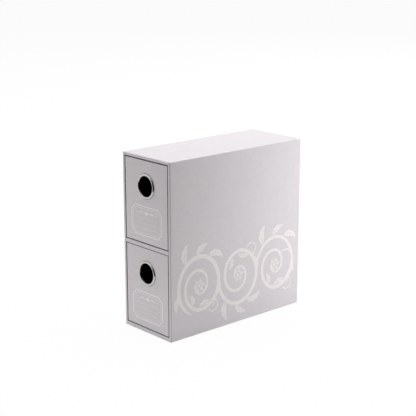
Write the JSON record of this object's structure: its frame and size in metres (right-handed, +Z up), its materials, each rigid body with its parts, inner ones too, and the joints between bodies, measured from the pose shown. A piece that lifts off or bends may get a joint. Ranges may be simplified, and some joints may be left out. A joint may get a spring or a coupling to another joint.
{
  "type": "card storage box with drawers",
  "caption": "Paper-wrapped greyboard card box: an open-fronted casing with a shelf and pull-out drawers, each with a round metal finger ring in its front.",
  "frame": {"origin": "middle of the casing's footprint, on the underside that the box stands on", "axes": "+Z up, -Y out of the front, the way the drawers pull, +X towards the printed side"},
  "size_m": [0.086, 0.2148, 0.216],
  "materials": {
    "greyboard": "matte",
    "casing_paper": "satin",
    "drawer_paper": "satin",
    "lining_paper": "matte",
    "ring_metal": "polished"
  },
  "bodies": {
    "casing": {"casing_top_board": "greyboard", "casing_bottom_board": "greyboard", "casing_left_board": "greyboard", "casing_right_board": "greyboard", "casing_back_board": "greyboard", "casing_wrap": "casing_paper", "casing_lining": "lining_paper", "base_sheet": "casing_paper", "back_sheet": "casing_paper", "shelf_board": "greyboard", "shelf_wrap": "casing_paper"},
    "upper_drawer": {"upper_drawer_bottom_board": "greyboard", "upper_drawer_left_board": "greyboard", "upper_drawer_right_board": "greyboard", "upper_drawer_front_board": "greyboard", "upper_drawer_back_board": "greyboard", "upper_drawer_wrap": "drawer_paper", "upper_drawer_lining": "lining_paper", "upper_finger_ring": "ring_metal", "upper_ring_washer": "ring_metal"},
    "lower_drawer": {"lower_drawer_bottom_board": "greyboard", "lower_drawer_left_board": "greyboard", "lower_drawer_right_board": "greyboard", "lower_drawer_front_board": "greyboard", "lower_drawer_back_board": "greyboard", "lower_drawer_wrap": "drawer_paper", "lower_drawer_lining": "lining_paper", "lower_finger_ring": "ring_metal", "lower_ring_washer": "ring_metal"}
  },
  "joints": [
    {"name": "upper_drawer_slide", "type": "slide", "parent": "casing", "child": "upper_drawer", "axis": [0, -1, 0], "range_m": [0, 0.2088]},
    {"name": "lower_drawer_slide", "type": "slide", "parent": "casing", "child": "lower_drawer", "axis": [0, -1, 0], "range_m": [0, 0.2088]}
  ]
}
